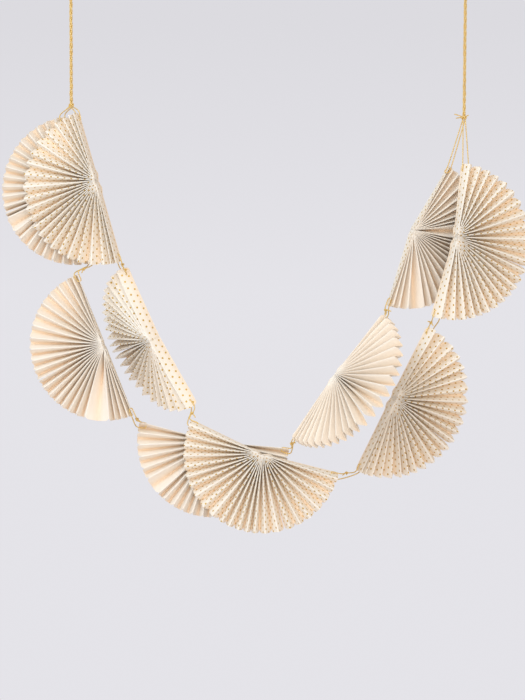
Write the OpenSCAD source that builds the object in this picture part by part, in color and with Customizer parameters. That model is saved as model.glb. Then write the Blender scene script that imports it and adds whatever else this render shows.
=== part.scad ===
// Folded paper garland: ten half-round pleated fans that hang in two chains from two cords.
// Each fan is one rectangle of card, pleated, pinched at its middle and opened to a half circle.
// X runs to the right, Y away from the viewer and Z up, from the top of the left hanging loop.

/* [Folded sheets] */
// Length of a sheet along its folds, which is the width of an open fan
fan_w = 152; // [120:1:180]
// Width of one panel between two folds
panel_w = 12.7; // [12.6:0.1:16]
// Thickness of the card
card_t = 0.25; // [0.2:0.01:0.3]
// How far the rim is rounded back at every second fold, so that each pleat ends in one bump
round_out = 3.2; // [1:0.1:5]
// Radius of the pinched middle of a fan
pinch_r = 6; // [5.5:0.1:8]
// How far the pinched middle stands proud of the folds, front and back
pinch_proud = 0.3; // [0.2:0.1:0.6]
// Half the width of the slit at the rim, where the two ends of a sheet meet
join_gap = 0.8; // [0.5:0.1:1.2]
// Where the slit starts, as a share of the fan's radius
slit_from = 0.6; // [0.4:0.05:0.8]

/* [Thread] */
// Diameter of a single gold thread
thread_d = 1.4; // [1:0.1:1.6]
// Diameter of a hanging cord of four twisted threads
cord_d = 3.4; // [3:0.1:4]
// Diameter of the doubled thread in a hanging loop
loop_d = 2.2; // [1.8:0.1:2.6]
// Diameter of a knot in a single thread
knot_d = 4; // [3.6:0.1:4.6]
// Diameter of a knot in a hanging cord
cord_knot_d = 6; // [5:0.1:7]
// Play between a thread and its hole
hole_play = 1; // [0.6:0.1:1.2]
// Distance from the rim of a fan to the middle of a thread hole
hole_inset = 7; // [6:0.5:9]
// Distance of a thread from the outer panel and the rim that it runs round
thread_off = 1.8; // [1.6:0.1:3]
// Width of a hanging loop
loop_w = 11; // [8:1:14]

/* [Hidden] */
fan_r = fan_w / 2;
// How far the garland spreads with its fans, and how deep it gets with their pleats: 1 for the sizes above
spread = fan_w / 152;
spread_y = panel_w / 12.7;
// The rounding across a panel, from the fold that is cut back: share of the panel's width, share of round_out
round_pts = [[0.1, 0.33], [0.4, 0]];
hole_d = thread_d + hole_play;
// Sides of a hole, more than 12 so that it is a true bore
hole_sides = 16;
// Corner of a thread where it enters a hole
thread_bend = 1;
thread_sides = 8;
// Distance of each of the four top threads from the middle of its knot, both ways
thread_step = 0.75 * thread_d;
// Gap between a thread's end and the knot that it runs back to
knot_gap = 0.3;
// Places along a knot and its radius there, as shares of its diameter
knot_steps = [[-0.4, 0.36], [-0.15, 0.5], [0.15, 0.5], [0.4, 0.36]];
// How far along a route a thread goes straight on from its knot, as a share of the knot's diameter
knot_lead = 0.6;
// Place and radius of a cord where it leaves its upper knot for the loop, as shares of the knot's diameter
neck_at = [0.08, 0, 0.45];
neck_r = 0.22;
pinch_h = panel_w + 2 * pinch_proud;
// Width of the slope at the edge of the pinch
pinch_slope = 0.4;
// Least depth of a panel that is almost flat
least_depth = 0.2;
dotted_colour = [0.97, 0.94, 0.86];
plain_colour = [0.98, 0.9, 0.84];
gold = [0.83, 0.66, 0.3];

// Each fan is a list of: the place of its pinched middle, the direction of the middle of its half
// circle (anticlockwise from +X), its turn about its straight edge (positive where the rim goes away
// from the viewer), the angle that each pleat takes from its first tip round to its last, how much
// shorter than half a sheet it is at its first tip and at its last, the number of pleats before its
// slit, and whether the straight edge's cut lies in front.
dotted_1 = [
    [26, -12, -213], 196, 12,
    [4, 3, 8, 10, 8, 8, 7, 7, 6, 6, 7, 7, 8, 8, 10, 10, 8, 9, 11, 11, 9, 6, 5, 4],
    [-4, 8], 11, false
];
dotted_2 = [
    [80, 2, -363], 207, 56,
    [12, 11, 8, 7, 8, 9, 10, 8, 7, 6, 7, 6, 5, 5, 7, 8, 7, 7, 7, 7, 8, 9, 10, 11],
    [1, 2], 12, false
];
dotted_3 = [
    [183.5, -9, -473.5], 250, 0,
    [8, 8, 9, 9, 9, 8, 8, 10, 9, 6, 6, 7, 7, 6, 10, 9, 10, 7, 7, 8, 8, 8, 7, 8],
    [0, 1], 7, false
];
dotted_4 = [
    [310, 6, -420.5], 333.5, 21,
    [8, 10, 10, 9, 8, 7, 11, 8, 8, 8, 7, 7, 7, 7, 8, 7, 7, 6, 6, 9, 7, 7, 4, 3],
    [-1, -2], 12, false
];
dotted_5 = [
    [368.5, -10, -266.5], 349, 12,
    [9, 8, 8, 8, 9, 9, 10, 10, 10, 9, 8, 8, 7, 7, 6, 7, 6, 7, 7, 5, 6, 8, 8, 11],
    [5, -3], 12, false
];
plain_1 = [
    [2.5, 10, -216], 190, 8,
    [6, 7, 8, 8, 8, 7, 7, 8, 7, 12, 4, 5, 8, 8, 8, 8, 8, 8, 8, 9, 9, 8, 9, 8],
    [0, 8], 11, true
];
plain_2 = [
    [32.5, -9, -369], 201.5, 8,
    [4, 5, 5, 5, 19, 7, 6, 7, 6, 7, 7, 7, 8, 8, 9, 9, 10, 10, 9, 9, 9, 8, 5, 5],
    [3, 4], 12, true
];
plain_3 = [
    [139, 9, -462.5], 260, 0,
    [7, 7, 7, 7, 7, 7, 8, 7, 8, 7, 8, 7, 8, 8, 8, 8, 8, 6, 14, 8, 9, 9, 9, 8],
    [5, 0], 12, true
];
plain_4 = [
    [257, -2, -400], 323.5, -53,
    [5, 8, 8, 8, 9, 9, 8, 8, 9, 9, 9, 9, 9, 6, 6, 7, 7, 7, 7, 7, 6, 5, 4, 4],
    [2, 2], 12, true
];
plain_5 = [
    [328.5, 12, -259], 336, 18,
    [4, 6, 8, 8, 8, 8, 6, 5, 16, 5, 5, 6, 6, 6, 7, 8, 8, 8, 7, 6, 13, 7, 5, 4],
    [4, 0], 12, true
];

// Where each knot lies on its way from one tip to the next, in the threads that join the plain fans
// and the dotted fans, from left to right
plain_knots = [0.6, 0.6, 0.6, 0.5];
dotted_knots = [0.5, 0.5, 0.4, 0.4];
// Each hanging cord: the top of its loop, the knot below the loop and the knot above the fans
left_cord = [[0, 0, 0], [0, 0, -24], [0.5, 0, -139]];
right_cord = [[379, 0, 0], [379, 0, -24], [377.5, 0, -151]];
// Route of a hanging loop from its free end round to its knot, as shares of half its width and of its height
loop_route = [
    [-0.32, 0.96], [-0.62, 0.78], [-0.95, 0.5], [-1, 0.28], [-0.7, 0.07], [0, 0],
    [0.7, 0.07], [1, 0.28], [0.95, 0.5], [0.62, 0.78], [0.32, 0.97]
];

// A place in the garland, which spreads out as its fans grow.
function place(p) = [p[0] * spread, p[1] * spread_y, p[2] * spread];

// Sum of the first n numbers of a list.
function sum_to(v, n) = n <= 0 ? 0 : v[n - 1] + sum_to(v, n - 1);

// Direction of fold i about the fan's middle: 0 is the middle of the half circle.
function fold_a(pleats, i) = let(
    whole = sum_to(pleats, len(pleats)),
    k = floor(i / 2)
) sum_to(pleats, k) + (i % 2) * pleats[min(k, len(pleats) - 1)] / 2 - whole / 2;

// Distance across one panel at radius r, and the depth that its width leaves it.
function panel_c(da, r) = 2 * r * sin(abs(da) / 2);
function panel_d(da, r) = sqrt(max(pow(panel_w, 2) - pow(panel_c(da, r), 2), pow(least_depth, 2)));

// Normal towards the front of the panel that leads from fold i to fold i + 1.
function panel_n(a, i, r, front) = let(
    c = panel_c(a[i + 1] - a[i], r),
    d = panel_d(a[i + 1] - a[i], r),
    s = front(i) ? 1 : -1
) [s * d, -c] / norm([d, c]);

// Points of fold i on the front face (side = 1) or the back face (side = -1) of the card.
function fold_pts(a, i, r, front, side) = let(
    n = len(a) - 1,
    nearer = i == 0 ? 0 : i - 1,
    y = fold_y(a, i, r, front),
    half = side * card_t / 2
) i == 0 ? [[0, y] + half * panel_n(a, 0, r, front)]
    : i == n ? [[0, y] + half * panel_n(a, n - 1, r, front)]
    : let(
        n1 = panel_n(a, nearer, r, front),
        n2 = panel_n(a, i, r, front),
        both = n1 + n2,
        outer = (side > 0) == front(i)
    ) outer ? [[0, y] + half * n1, [0, y] + half * n2]
        : [[0, y] + side * card_t * both / (both * both)];

// Depth of fold i: even folds lie in one plane, and each odd fold lies as deep as its own pleat lets it.
function fold_y(a, i, r, front) = let(
    plane = (front(0) ? -1 : 1) * panel_w / 2
) i % 2 == 0 ? plane : plane * (1 - 2 * panel_d(a[i + 1] - a[i], r) / panel_w);

// A point of the section, moved out to radius r in the direction of its fold.
function in_fan(a, r, p) = [r * sin(a) + p[0] * cos(a), p[1], r * cos(a) - p[0] * sin(a)];

// Radius of the rim in direction a, for a fan with the given trim.
function rim_r(a, trim) = fan_r - (trim[0] + trim[1]) / 2 + (trim[0] - trim[1]) / 2 * sin(a);

// Radii in direction a of the drawn sections: the two rings of the pinch, then out to the fold's end.
function ring_rs(a, trim, back) = concat(
    [pinch_r - pinch_slope, pinch_r], [for (k = [0.5, 0.8]) k * rim_r(a, trim)], [rim_r(a, trim) - back]
);

// A sheet of pleated card and its pinched middle, as one closed form.
// Its first ring of points is the flat face of the pinch, and the others follow the folds.
module pleated_sheet(angles, trim, mountain) {
    front = function(i) (i % 2 == 0) == mountain;
    n = len(angles) - 1;
    radii = [for (i = [0:n]) ring_rs(angles[i], trim, i % 2 == 0 ? round_out : 0)];
    face = function(k, side) [
        for (i = [0:n]) for (p = fold_pts(angles, i, radii[i][k], front, side))
            in_fan(angles[i], radii[i][k], k == 0 ? [p[0], -side * pinch_h / 2] : p)
    ];
    count = function(side) [
        for (i = [0:n]) i == 0 || i == n ? 1 : (side > 0) == front(i) ? 2 : 1
    ];
    front_n = count(1);
    back_n = count(-1);
    front_len = sum_to(front_n, n + 1);
    m = front_len + sum_to(back_n, n + 1);
    top = len(radii[0]) - 1;
    middle = m * (top + 1);
    // Two points of each panel's rounded end, on the front face and on the back face
    rim_point = function(i, side, late) let(
        r = rim_r(angles[i], trim),
        p = fold_pts(angles, i, r, front, side)
    ) in_fan(angles[i], r, p[late ? len(p) - 1 : 0]);
    ends = [
        for (i = [0:n - 1]) for (side = [1, -1]) let(
            p = rim_point(i, side, true),
            q = rim_point(i + 1, side, false)
        ) for (k = [0, 1]) let(
            even = i % 2 == 0,
            at = round_pts[even ? k : 1 - k],
            drawn_in = 1 - at[1] * round_out / fan_r,
            b = even ? p + at[0] * (q - p) : q + at[0] * (p - q)
        ) [b[0] * drawn_in, b[1], b[2] * drawn_in]
    ];
    points = concat(
        [for (k = [0:top]) each concat(face(k, 1), face(k, -1))],
        [[0, -pinch_h / 2, 0], [0, pinch_h / 2, 0]],
        ends
    );
    // The walls between one ring and the next, on the front face and on the back face
    fronts = [
        for (k = [0:top - 1]) for (j = [0:front_len - 2]) each [
            [k * m + j, k * m + j + 1, (k + 1) * m + j + 1],
            [k * m + j, (k + 1) * m + j + 1, (k + 1) * m + j]
        ]
    ];
    backs = [
        for (k = [0:top - 1]) for (j = [front_len:m - 2]) each [
            [k * m + j, (k + 1) * m + j + 1, k * m + j + 1],
            [k * m + j, (k + 1) * m + j, (k + 1) * m + j + 1]
        ]
    ];
    // The flat faces of the pinch
    pinch_faces = concat(
        [for (j = [0:front_len - 2]) [middle, j + 1, j]],
        [for (j = [front_len:m - 2]) [middle + 1, j, j + 1]]
    );
    // The two cut edges along the outer panels
    edges = [
        for (k = [0:top - 1]) each [
            [k * m, (k + 1) * m, (k + 1) * m + front_len],
            [k * m, (k + 1) * m + front_len, k * m + front_len],
            [k * m + front_len - 1, (k + 1) * m + m - 1, (k + 1) * m + front_len - 1],
            [k * m + front_len - 1, k * m + m - 1, (k + 1) * m + m - 1]
        ]
    ];
    pinch_edges = [
        [middle, 0, front_len],
        [middle, front_len, middle + 1],
        [middle, m - 1, front_len - 1],
        [middle, middle + 1, m - 1]
    ];
    // The cut edge across the panels at the rim, and both faces of each panel's rounded end
    rim = [
        for (i = [0:n]) let(
            f = top * m + sum_to(front_n, i),
            b = top * m + front_len + sum_to(back_n, i),
            f_last = f + front_n[i] - 1,
            b_last = b + back_n[i] - 1,
            e = middle + 2 + 4 * i,
            nears = [f_last, e, e + 1, f_last + 1],
            fars = [b_last, e + 2, e + 3, b_last + 1],
            fold = front_n[i] == 2 ? [[f + 1, b, f]] : back_n[i] == 2 ? [[b + 1, b, f]] : [],
            panel = i == n ? [] : concat(
                [[nears[0], nears[3], nears[2]], [nears[0], nears[2], nears[1]]],
                [[fars[0], fars[2], fars[3]], [fars[0], fars[1], fars[2]]],
                [for (k = [0:2]) each [
                    [nears[k + 1], fars[k], nears[k]], [fars[k + 1], fars[k], nears[k + 1]]
                ]]
            )
        ) each concat(fold, panel)
    ];
    polyhedron(points, concat(fronts, backs, pinch_faces, edges, pinch_edges, rim));
}

// The slit between the two ends of the sheet, from part of the way out to past the rim.
module join_slit(a) {
    rotate([0, a, 0]) rotate([90, 0, 0]) linear_extrude(2 * panel_w, center = true)
        polygon([[0, fan_r * slit_from], [join_gap, fan_r + 1], [-join_gap, fan_r + 1]]);
}

// Folds of a fan, as directions about its middle.
function folds_of(f) = [for (i = [0:2 * len(f[3])]) fold_a(f[3], i)];

// A point of a fan's own frame, in the frame of the garland.
function in_garland(f, p) = let(
    y = p[1] * cos(f[2]) + p[2] * sin(f[2]),
    z = p[2] * cos(f[2]) - p[1] * sin(f[2]),
    b = 90 - f[1]
) place(f[0]) + [p[0] * cos(b) + z * sin(b), y, z * cos(b) - p[0] * sin(b)];

// Depth of a thread hole: towards the open side of the outer pleat.
function hole_y(f) = (f[6] ? -1 : 1) * panel_w / 6;

// Thread hole at a fan's first tip (end = 0) or last tip (end = 1): the directions of the thread
// outside the outer panel and inside its pleat, and the radius of the hole and of the rim there.
function tip_hole(f, end) = let(
    a = folds_of(f),
    i = end * (len(a) - 1),
    s = end == 0 ? 1 : -1,
    r = rim_r(a[i], f[4]),
    share = (panel_w / 2 - abs(hole_y(f))) / panel_d(a[i + s] - a[i], r - hole_inset)
) [a[i] + share * (a[i + s] - a[i]) - s * thread_off / r * 180 / PI, a[i + s], r - hole_inset, r];

// Route of a thread in through the hole at a fan's tip: from outside the rim to the pleat's mouth.
function tip_route(f, end) = let(
    h = tip_hole(f, end),
    bend = (end == 0 ? 1 : -1) * thread_bend / h[2] * 180 / PI
) [
    for (t = [
        [h[0], h[3] + thread_off],
        [h[0], h[2] + thread_bend],
        [h[0] + bend, h[2]],
        [h[1] - bend, h[2]],
        [h[1], h[2] + thread_bend],
        [h[1], h[3] + thread_off]
    ]) in_garland(f, in_fan(t[0], t[1], [0, hole_y(f)]))
];

// A hole for a thread through the outer panel at one tip of a fan.
module thread_hole(f, end) {
    h = tip_hole(f, end);
    half = abs(h[1] - h[0]) / 2;
    rotate([0, (h[0] + h[1]) / 2, 0]) translate([0, hole_y(f), h[2] * cos(half)]) rotate([0, 90, 0])
        cylinder(h = 2 * h[2] * sin(half), d = hole_d, center = true, $fn = hole_sides);
}

module fan(f) {
    angles = folds_of(f);
    translate(place(f[0])) rotate([0, 90 - f[1], 0]) rotate([-f[2], 0, 0]) difference() {
        pleated_sheet(angles, f[4], f[6]);
        join_slit(angles[2 * f[5]]);
        thread_hole(f, 0);
        thread_hole(f, 1);
    }
}

function unit(v) = v / norm(v);

// Direction of a route at each of its points.
function route_dirs(p) = let(last = len(p) - 1) [
    for (i = [0:last]) i == 0 ? unit(p[1] - p[0]) : i == last ? unit(p[i] - p[i - 1])
        : unit(unit(p[i + 1] - p[i]) + unit(p[i] - p[i - 1]))
];

// Normals carried along a route without twist.
function carried(dirs, i, n) = i == len(dirs) ? [] : let(
    m = unit(n - (n * dirs[i]) * dirs[i])
) concat([m], carried(dirs, i + 1, m));

// A round thread swept along a route. Each step of the route is a point and the radius there.
module thread(route) {
    middle = [for (r = route) r[0]];
    dirs = route_dirs(middle);
    normals = carried(dirs, 0, abs(dirs[0][1]) < 0.8 ? [0, 1, 0] : [1, 0, 0]);
    last = len(route) - 1;
    points = [
        for (i = [0:last]) for (k = [0:thread_sides - 1]) let(
            a = 360 * k / thread_sides,
            side = cross(dirs[i], normals[i])
        ) middle[i] + route[i][1] * (cos(a) * normals[i] + sin(a) * side)
    ];
    walls = [
        for (i = [0:last - 1]) for (k = [0:thread_sides - 1]) let(
            j = (k + 1) % thread_sides
        ) each [
            [i * thread_sides + k, (i + 1) * thread_sides + k, (i + 1) * thread_sides + j],
            [i * thread_sides + k, (i + 1) * thread_sides + j, i * thread_sides + j]
        ]
    ];
    start = [for (k = [0:thread_sides - 1]) k];
    finish = [for (k = [thread_sides - 1:-1:0]) last * thread_sides + k];
    polyhedron(points, concat(walls, [start, finish]));
}

// Steps of a thread of diameter d along some points.
function steps(points, d) = [for (p = points) [p, d / 2]];

// Steps of a knot of diameter d about a point, in direction u.
function knot(at, u, d) = [for (k = knot_steps) [at + k[0] * d * u, k[1] * d]];

function flip(v) = [for (i = [len(v) - 1:-1:0]) v[i]];

// A short thread that joins the first tip of one fan to the last tip of the next, and its knot.
// It starts in the knot, passes through both holes and runs back to the other side of the knot.
module tie(f1, f2, share) {
    there = tip_route(f1, 0);
    back = flip(tip_route(f2, 1));
    at = there[0] + share * (back[len(back) - 1] - there[0]);
    u = unit(there[0] - back[len(back) - 1]);
    finish = at - (knot_d / 2 + knot_gap) * u;
    color(gold) thread(concat(
        [[at - knot_d / 2 * u, thread_d / 2]], knot(at, u, knot_d),
        steps(concat([at + knot_lead * knot_d * u], there, back, [finish - thread_d * u, finish]), thread_d)
    ));
}

// A hanging cord of four threads, from its loop and the knot below it down to the knot above the fans.
module hanging_cord(points) {
    cord = [for (p = points) place(p)];
    head = cord[1] + [0, 0, cord_knot_d / 2] - cord[0] + [0, 0, loop_d / 2];
    half_w = (loop_w - loop_d) / 2;
    loop = [for (p = loop_route) cord[0] + [p[0] * half_w, 0, p[1] * head[2] - loop_d / 2]];
    u = unit(cord[2] - cord[1]);
    neck = cord[1] + neck_at * cord_knot_d;
    foot = cord[2] + cord_knot_d / 2 * u;
    color(gold) thread(concat(
        steps(loop, loop_d), [[neck, neck_r * cord_knot_d]], knot(cord[1], u, cord_knot_d),
        steps([cord[1] + knot_lead * cord_knot_d * u, cord[2] - knot_lead * cord_knot_d * u], cord_d),
        knot(cord[2], u, cord_knot_d), [[foot, knot_steps[3][1] * cord_knot_d]]
    ));
}

// A thread from a hanging cord's lower knot, through the hole at a fan's tip and back to the knot.
// side is 1 where the thread's outer run starts on the right. depth is 1 for a fan behind the cord.
module top_thread(f, end, cord, side, depth) {
    port = function(s) place(cord[2]) + [s * thread_step, depth * thread_step, -cord_knot_d / 2 - knot_gap];
    lead = [0, 0, -thread_d];
    route = concat([port(side), port(side) + lead], tip_route(f, end), [port(-side) + lead, port(-side)]);
    color(gold) thread(steps(route, thread_d));
}

module fan_dotted_1() {
    color(dotted_colour) fan(dotted_1);
}

module fan_dotted_2() {
    color(dotted_colour) fan(dotted_2);
}

module fan_dotted_3() {
    color(dotted_colour) fan(dotted_3);
}

module fan_dotted_4() {
    color(dotted_colour) fan(dotted_4);
}

module fan_dotted_5() {
    color(dotted_colour) fan(dotted_5);
}

module fan_plain_1() {
    color(plain_colour) fan(plain_1);
}

module fan_plain_2() {
    color(plain_colour) fan(plain_2);
}

module fan_plain_3() {
    color(plain_colour) fan(plain_3);
}

module fan_plain_4() {
    color(plain_colour) fan(plain_4);
}

module fan_plain_5() {
    color(plain_colour) fan(plain_5);
}

module tie_dotted_1() {
    tie(dotted_1, dotted_2, dotted_knots[0]);
}

module tie_dotted_2() {
    tie(dotted_2, dotted_3, dotted_knots[1]);
}

module tie_dotted_3() {
    tie(dotted_3, dotted_4, dotted_knots[2]);
}

module tie_dotted_4() {
    tie(dotted_4, dotted_5, dotted_knots[3]);
}

module tie_plain_1() {
    tie(plain_1, plain_2, plain_knots[0]);
}

module tie_plain_2() {
    tie(plain_2, plain_3, plain_knots[1]);
}

module tie_plain_3() {
    tie(plain_3, plain_4, plain_knots[2]);
}

module tie_plain_4() {
    tie(plain_4, plain_5, plain_knots[3]);
}

module left_hanging_cord() {
    hanging_cord(left_cord);
}

module right_hanging_cord() {
    hanging_cord(right_cord);
}

module left_front_thread() {
    top_thread(dotted_1, 1, left_cord, 1, -1);
}

module left_back_thread() {
    top_thread(plain_1, 1, left_cord, 1, 1);
}

module right_front_thread() {
    top_thread(dotted_5, 0, right_cord, -1, -1);
}

module right_back_thread() {
    top_thread(plain_5, 0, right_cord, -1, 1);
}

fan_dotted_1();
fan_dotted_2();
fan_dotted_3();
fan_dotted_4();
fan_dotted_5();
fan_plain_1();
fan_plain_2();
fan_plain_3();
fan_plain_4();
fan_plain_5();
tie_dotted_1();
tie_dotted_2();
tie_dotted_3();
tie_dotted_4();
tie_plain_1();
tie_plain_2();
tie_plain_3();
tie_plain_4();
left_hanging_cord();
right_hanging_cord();
left_front_thread();
left_back_thread();
right_front_thread();
right_back_thread();
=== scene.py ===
"""Folded paper garland: ten pleated half-round fans in two chains, tied tip to tip with gold thread."""

import logging
import math
from dataclasses import dataclass, field
from enum import Enum

import bmesh
import bpy
from mathutils import Matrix, Vector

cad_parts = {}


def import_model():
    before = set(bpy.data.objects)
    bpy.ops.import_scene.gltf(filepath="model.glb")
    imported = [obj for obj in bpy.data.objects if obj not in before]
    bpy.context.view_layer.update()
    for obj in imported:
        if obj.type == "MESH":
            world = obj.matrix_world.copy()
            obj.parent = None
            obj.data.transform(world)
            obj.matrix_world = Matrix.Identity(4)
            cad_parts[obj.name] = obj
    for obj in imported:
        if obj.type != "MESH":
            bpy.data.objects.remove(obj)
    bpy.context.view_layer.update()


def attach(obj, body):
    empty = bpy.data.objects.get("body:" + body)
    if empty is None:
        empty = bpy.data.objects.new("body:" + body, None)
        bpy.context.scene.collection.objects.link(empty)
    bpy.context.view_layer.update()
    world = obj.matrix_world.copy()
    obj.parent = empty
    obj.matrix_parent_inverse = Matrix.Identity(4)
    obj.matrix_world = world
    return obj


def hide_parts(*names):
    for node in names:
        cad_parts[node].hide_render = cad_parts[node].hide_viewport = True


LOG = logging.getLogger("garland")
MM = 0.001
BODY = "root"
UV_NAME = "UVMap"

# Sizes of every fan and thread, as in the part's source, in metres
PANEL = 12.7 * MM
CARD = 0.3 * MM
FAN_R = 76 * MM
HOLE_INSET = 7 * MM
THREAD_OFF = 1.8 * MM
THREAD_BEND = 1 * MM
THREAD_R = 0.62 * MM

# How much wider the worn fold lines, partly painted highlight, are at the hub, and how the foil of the dots
# shines
HUB_LINE = 4
DOT_ROUGHNESS = 0.42
DOT_METALLIC = 0.3

# How a panel bends near its folds and its rim, by the names of the pleating tree's inputs
PLEAT_FORM = {
    "Panel Width": PANEL, "Pinch Radius": 0.3 * MM, "Crease Radius": 2.4 * MM, "Crease Depth": 0.75 * MM,
    "Crease Width": 0.3 * MM, "Bow": 0.7 * MM, "Wave": 2.2 * MM, "Round Back": 3.2 * MM,
    "Round Reach": 5 * MM, "Slit": 0.6 * MM, "Slit Start": 0.6,
}

# The photograph's view: its width at the garland, the camera's distance and the middle of the frame
PHOTO_WIDTH = 504 * MM
CAMERA_AWAY = 2.0
PHOTO_MIDDLE = (184 * MM, -374 * MM)

# Types of the sockets of node groups
FLOAT = "NodeSocketFloat"
WHOLE = "NodeSocketInt"
VECTOR = "NodeSocketVector"
GEOMETRY = "NodeSocketGeometry"
MATERIAL = "NodeSocketMaterial"

Socket = bpy.types.NodeSocket
Point = tuple[float, float, float]


class CardFace(Enum):
    """Which face of its card a fan shows to the viewer."""

    DOTTED = "dotted"
    PLAIN = "plain"


class Graph:
    """A node tree, and short ways to add nodes to it."""

    def __init__(self, tree: bpy.types.NodeTree) -> None:
        """Start writing a tree.

        Args:
            tree: the node tree to write.
        """
        self.tree = tree

    def add(self, kind: str, inputs: dict | None = None, **settings: object) -> bpy.types.Node:
        """Add a node.

        Args:
            kind: the node's type.
            inputs: a value or a socket for each input, by name or number.
            settings: the node's own properties.

        Returns:
            The new node.
        """
        node = self.tree.nodes.new(kind)
        for name, value in settings.items():
            setattr(node, name, value)
        for name, value in (inputs or {}).items():
            self.feed(node.inputs[name], value)
        return node

    def out(self, kind: str, inputs: dict | None = None, **settings: object) -> Socket:
        """Add a node as add does, and give its first output."""
        return self.add(kind, inputs, **settings).outputs[0]

    def feed(self, socket: Socket, value: object) -> None:
        """Link a socket to an input, or set the input's own value."""
        if isinstance(value, bpy.types.NodeSocket):
            self.tree.links.new(value, socket)
        else:
            socket.default_value = value

    def math(self, operation: str, *values: object) -> Socket:
        """Work out a number from up to three numbers."""
        return self.out("ShaderNodeMath", dict(enumerate(values)), operation=operation)

    def times(self, a: object, b: object) -> Socket:
        """Multiply two numbers."""
        return self.math("MULTIPLY", a, b)

    def minus(self, a: object, b: object) -> Socket:
        """Take the second number from the first."""
        return self.math("SUBTRACT", a, b)

    def plus(self, a: object, b: object) -> Socket:
        """Add two numbers."""
        return self.math("ADD", a, b)

    def over(self, a: object, b: object) -> Socket:
        """Divide the first number by the second."""
        return self.math("DIVIDE", a, b)

    def most(self, a: object, b: object) -> Socket:
        """Pick the larger of two numbers."""
        return self.math("MAXIMUM", a, b)

    def sine(self, angle: object) -> Socket:
        """Work out an angle's sine."""
        return self.math("SINE", angle)

    def cosine(self, angle: object) -> Socket:
        """Work out an angle's cosine."""
        return self.math("COSINE", angle)

    def vector(self, operation: str, *values: object) -> Socket:
        """Work out a vector from vectors."""
        return self.out("ShaderNodeVectorMath", dict(enumerate(values)), operation=operation)

    def scaled(self, vector: Socket, factor: object) -> Socket:
        """Lengthen a vector by a factor."""
        node = self.add("ShaderNodeVectorMath", {0: vector, "Scale": factor}, operation="SCALE")
        return node.outputs[0]

    def joined(self, x: object, y: object, z: object) -> Socket:
        """Make a vector of three numbers."""
        return self.out("ShaderNodeCombineXYZ", {0: x, 1: y, 2: z})

    def mixed(self, a: Socket, b: Socket, factor: Socket) -> Socket:
        """Mix two numbers: a at factor 0 and b at factor 1."""
        return self.plus(a, self.times(factor, self.minus(b, a)))

    def mixed_value(self, factor: Socket, a: float, b: float) -> Socket:
        """Mix two plain numbers: a at factor 0 and b at factor 1."""
        return self.plus(a, self.times(factor, b - a))

    def bell(self, value: Socket, middle: float, width: float) -> Socket:
        """Rise smoothly to 1 where a value is near its middle, over about its width."""
        away = self.over(self.minus(value, middle), width)
        return self.math("EXPONENT", self.times(self.times(away, away), -1.0))

    def either(self, mask: Socket, a: object, b: object) -> Socket:
        """Pick a where the mask is 1 and b where it is 0."""
        return self.plus(self.times(mask, a), self.times(self.minus(1.0, mask), b))


def add_sockets(tree: bpy.types.NodeTree, inputs: dict[str, str], outputs: dict[str, str]) -> None:
    """Give a node group its named inputs and outputs.

    Args:
        tree: the group's tree.
        inputs: the type of each input socket, by name.
        outputs: the type of each output socket, by name.
    """
    for name, kind in inputs.items():
        tree.interface.new_socket(name, in_out="INPUT", socket_type=kind)
    for name, kind in outputs.items():
        tree.interface.new_socket(name, in_out="OUTPUT", socket_type=kind)


def set_inputs(modifier: bpy.types.NodesModifier, values: dict[str, object]) -> None:
    """Set a Geometry Nodes modifier's inputs by the names of its sockets.

    Args:
        modifier: the modifier, with its tree set.
        values: a value for each named input.
    """
    for item in modifier.node_group.interface.items_tree:
        if item.in_out == "INPUT" and item.name in values:
            modifier[item.identifier] = values[item.name]


def baked(obj: bpy.types.Object) -> bpy.types.Mesh:
    """Turn an object and its modifiers into a plain mesh, and remove the object.

    Args:
        obj: an object with live modifiers.

    Returns:
        The evaluated mesh.
    """
    graph = bpy.context.evaluated_depsgraph_get()
    graph.update()
    mesh = bpy.data.meshes.new_from_object(obj.evaluated_get(graph), preserve_all_data_layers=True,
                                           depsgraph=graph)
    bpy.data.objects.remove(obj)
    return mesh


def merged(name: str, meshes: list[bpy.types.Mesh]) -> bpy.types.Mesh:
    """Join meshes that share their list of materials.

    Args:
        name: the new mesh's name.
        meshes: the meshes to join, which are removed.

    Returns:
        One mesh with the materials of the first.
    """
    whole = bmesh.new()
    for mesh in meshes:
        whole.from_mesh(mesh)
    result = bpy.data.meshes.new(name)
    whole.to_mesh(result)
    whole.free()
    for material in meshes[0].materials:
        result.materials.append(material)
    for mesh in meshes:
        bpy.data.meshes.remove(mesh)
    return result


def placed(name: str, mesh: bpy.types.Mesh) -> bpy.types.Object:
    """Put a mesh in the scene as an object at the origin."""
    obj = bpy.data.objects.new(name, mesh)
    bpy.context.scene.collection.objects.link(obj)
    return obj


def fibre_group() -> bpy.types.NodeTree:
    """Build the shader group for the fine fibres in a sheet of card.

    Returns:
        A group that puts out a tint near 1 and a height near 0.5.
    """
    tree = bpy.data.node_groups.new("Card fibres", "ShaderNodeTree")
    add_sockets(tree, {"Vector": VECTOR, "Scale": FLOAT, "Tint Range": FLOAT},
                {"Tint": FLOAT, "Height": FLOAT})
    g = Graph(tree)
    source = g.add("NodeGroupInput").outputs
    fine = g.out("ShaderNodeTexNoise", {"Vector": source["Vector"], "Scale": source["Scale"], "Detail": 6.0,
                                        "Roughness": 0.65})
    coarse = g.out("ShaderNodeTexNoise", {"Vector": source["Vector"], "Detail": 2.0,
                                          "Scale": g.times(source["Scale"], 0.02)})
    both = g.plus(g.times(fine, 0.5), g.times(coarse, 0.5))
    tint = g.plus(1.0, g.times(g.minus(both, 0.5), source["Tint Range"]))
    out = g.add("NodeGroupOutput")
    g.feed(out.inputs["Tint"], tint)
    g.feed(out.inputs["Height"], fine)
    return tree


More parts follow.
